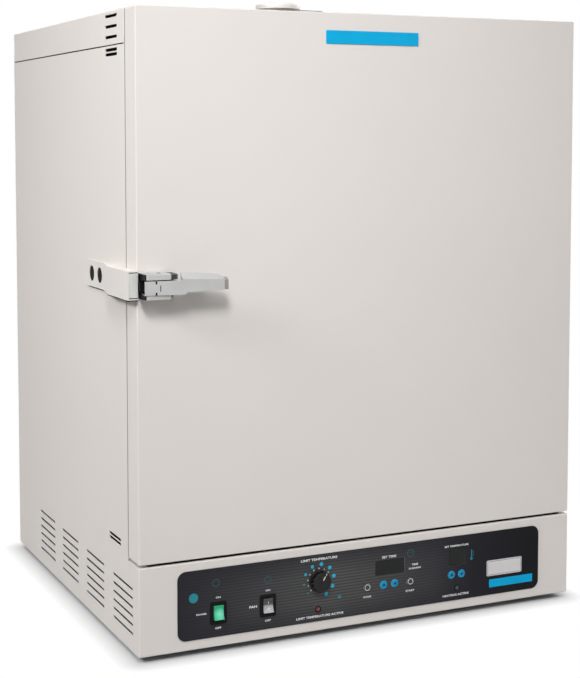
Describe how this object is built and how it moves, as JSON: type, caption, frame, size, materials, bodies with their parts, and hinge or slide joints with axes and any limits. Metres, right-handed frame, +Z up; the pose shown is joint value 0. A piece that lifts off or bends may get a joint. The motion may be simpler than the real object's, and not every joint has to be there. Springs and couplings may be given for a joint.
{
  "type": "forced-air oven",
  "caption": "Floor-standing forced-air drying oven: insulated cabinet, side-hinged door with a lever latch, a control panel below and a vent on the roof.",
  "frame": {"origin": "middle of the footprint of the whole oven, on the floor under the feet", "axes": "+Z up, -Y out of the door, +X to the right of someone facing the door"},
  "size_m": [0.809, 0.7462, 1.03],
  "materials": {
    "paint": "warm light grey powder coat, satin with a very fine texture",
    "stainless": "fine brushed stainless sheet",
    "cast_metal": "satin cast metal",
    "steel": "zinc plated steel",
    "black_plastic": "moulded black plastic, lightly grained",
    "foot_rubber": "dull black rubber",
    "overlay_film": "charcoal printed film with fine pinstripes",
    "gasket_silicone": "red-brown silicone, dull",
    "blue_plate": "bare blue plate, semi-gloss",
    "blue_button": "moulded blue button",
    "green_rocker": "translucent green, lit",
    "smoked_window": "smoked display window",
    "mineral_wool": "loose mineral fibre",
    "circuit_board": "green circuit board"
  },
  "bodies": {
    "cabinet": {"left_side_panel": "paint", "right_side_panel": "paint", "top_cover": "paint", "rear_cover": "paint", "base_pan": "steel", "front_fascia": "paint", "control_overlay": "overlay_film", "face_frame": "paint", "chamber_liner": "stainless", "insulation_jacket": "mineral_wool", "rear_baffle": "stainless", "shelf_rail_left": "stainless", "shelf_rail_right": "stainless", "fan_motor": "steel", "heater_element": "steel", "temperature_probe": "stainless", "vent_collar": "cast_metal", "strike_bracket": "paint", "strike_block": "cast_metal", "strike_plug_front": "black_plastic", "strike_plug_rear": "black_plastic", "hinge_lower_fixed": "steel", "hinge_upper_fixed": "steel", "foot_front_left": "foot_rubber", "foot_rear_left": "foot_rubber", "foot_front_right": "foot_rubber", "foot_rear_right": "foot_rubber", "power_switch_housing": "black_plastic", "fan_switch_housing": "black_plastic", "limit_thermostat": "steel", "timer_display": "smoked_window", "temperature_display": "smoked_window", "control_board": "circuit_board", "power_inlet": "black_plastic"},
    "door": {"door_skin": "paint", "door_inner_panel": "stainless", "door_insulation": "mineral_wool", "door_gasket": "gasket_silicone", "door_badge": "blue_plate", "hinge_lower_door": "steel", "hinge_upper_door": "steel", "handle_base": "cast_metal", "handle_pin": "steel"},
    "lever": {"handle_lever": "cast_metal"},
    "bolt": {"latch_bolt": "steel"},
    "power_paddle": {"power_rocker": "green_rocker"},
    "fan_paddle": {"fan_rocker": "black_plastic"},
    "knob": {"limit_knob": "black_plastic"},
    "vent_lid": {"vent_cap": "cast_metal"},
    "blower": {"blower_wheel": "stainless", "motor_shaft": "steel"},
    "lower_shelf": {"shelf_lower": "stainless"},
    "upper_shelf": {"shelf_upper": "stainless"},
    "mode_button_body": {"mode_button": "black_plastic"},
    "time_up_button_body": {"time_up_button": "blue_button"},
    "time_down_button_body": {"time_down_button": "blue_button"},
    "start_button_body": {"start_button": "black_plastic"},
    "temp_up_button_body": {"temp_up_button": "blue_button"},
    "temp_down_button_body": {"temp_down_button": "blue_button"}
  },
  "joints": [
    {"name": "door_swing", "type": "hinge", "parent": "cabinet", "child": "door", "pos_m": [0.3965, -0.28465, 0.568], "axis": [0, 0, 1], "range_deg": [0, 170]},
    {"name": "handle_pull", "type": "hinge", "parent": "door", "child": "lever", "pos_m": [-0.3605, -0.35415, 0.573], "axis": [0, 0, -1], "range_deg": [0, 40], "stiffness_Nm_per_rad": 0.6, "springref_deg": -5.73},
    {"name": "bolt_slide", "type": "slide", "parent": "door", "child": "bolt", "axis": [1, 0, 0], "range_m": [0, 0.0066]},
    {"name": "power_rocker_tilt", "type": "hinge", "parent": "cabinet", "child": "power_paddle", "pos_m": [-0.25979, -0.33215, 0.06298], "axis": [1, 0, 0], "range_deg": [0, 16]},
    {"name": "fan_rocker_tilt", "type": "hinge", "parent": "cabinet", "child": "fan_paddle", "pos_m": [-0.17673, -0.33215, 0.06298], "axis": [1, 0, 0], "range_deg": [0, 16]},
    {"name": "limit_knob_turn", "type": "hinge", "parent": "cabinet", "child": "knob", "pos_m": [-0.08779, -0.34415, 0.09095], "axis": [0, 1, 0], "range_deg": [-135, 135]},
    {"name": "vent_turn", "type": "hinge", "parent": "cabinet", "child": "vent_lid", "pos_m": [0, 0.01585, 1.02], "axis": [0, 0, 1], "range_deg": [0, 90]},
    {"name": "blower_spin", "type": "hinge", "parent": "cabinet", "child": "blower", "pos_m": [0, 0.21885, 0.568], "axis": [0, 1, 0], "continuous": true},
    {"name": "lower_shelf_slide", "type": "slide", "parent": "cabinet", "child": "lower_shelf", "axis": [0, -1, 0], "range_m": [0, 0.044]},
    {"name": "upper_shelf_slide", "type": "slide", "parent": "cabinet", "child": "upper_shelf", "axis": [0, -1, 0], "range_m": [0, 0.044]},
    {"name": "mode_button_press", "type": "slide", "parent": "cabinet", "child": "mode_button_body", "axis": [0, 1, 0], "range_m": [0, 0.0008], "stiffness_N_per_m": 1500, "springref_m": -0.0004},
    {"name": "time_up_button_press", "type": "slide", "parent": "cabinet", "child": "time_up_button_body", "axis": [0, 1, 0], "range_m": [0, 0.0008], "stiffness_N_per_m": 1500, "springref_m": -0.0004},
    {"name": "time_down_button_press", "type": "slide", "parent": "cabinet", "child": "time_down_button_body", "axis": [0, 1, 0], "range_m": [0, 0.0008], "stiffness_N_per_m": 1500, "springref_m": -0.0004},
    {"name": "start_button_press", "type": "slide", "parent": "cabinet", "child": "start_button_body", "axis": [0, 1, 0], "range_m": [0, 0.0008], "stiffness_N_per_m": 1500, "springref_m": -0.0004},
    {"name": "temp_up_button_press", "type": "slide", "parent": "cabinet", "child": "temp_up_button_body", "axis": [0, 1, 0], "range_m": [0, 0.0008], "stiffness_N_per_m": 1500, "springref_m": -0.0004},
    {"name": "temp_down_button_press", "type": "slide", "parent": "cabinet", "child": "temp_down_button_body", "axis": [0, 1, 0], "range_m": [0, 0.0008], "stiffness_N_per_m": 1500, "springref_m": -0.0004}
  ],
  "couplings": [
    {"joint": "bolt_slide", "follows": "handle_pull", "m_per_rad": 0.0092}
  ]
}
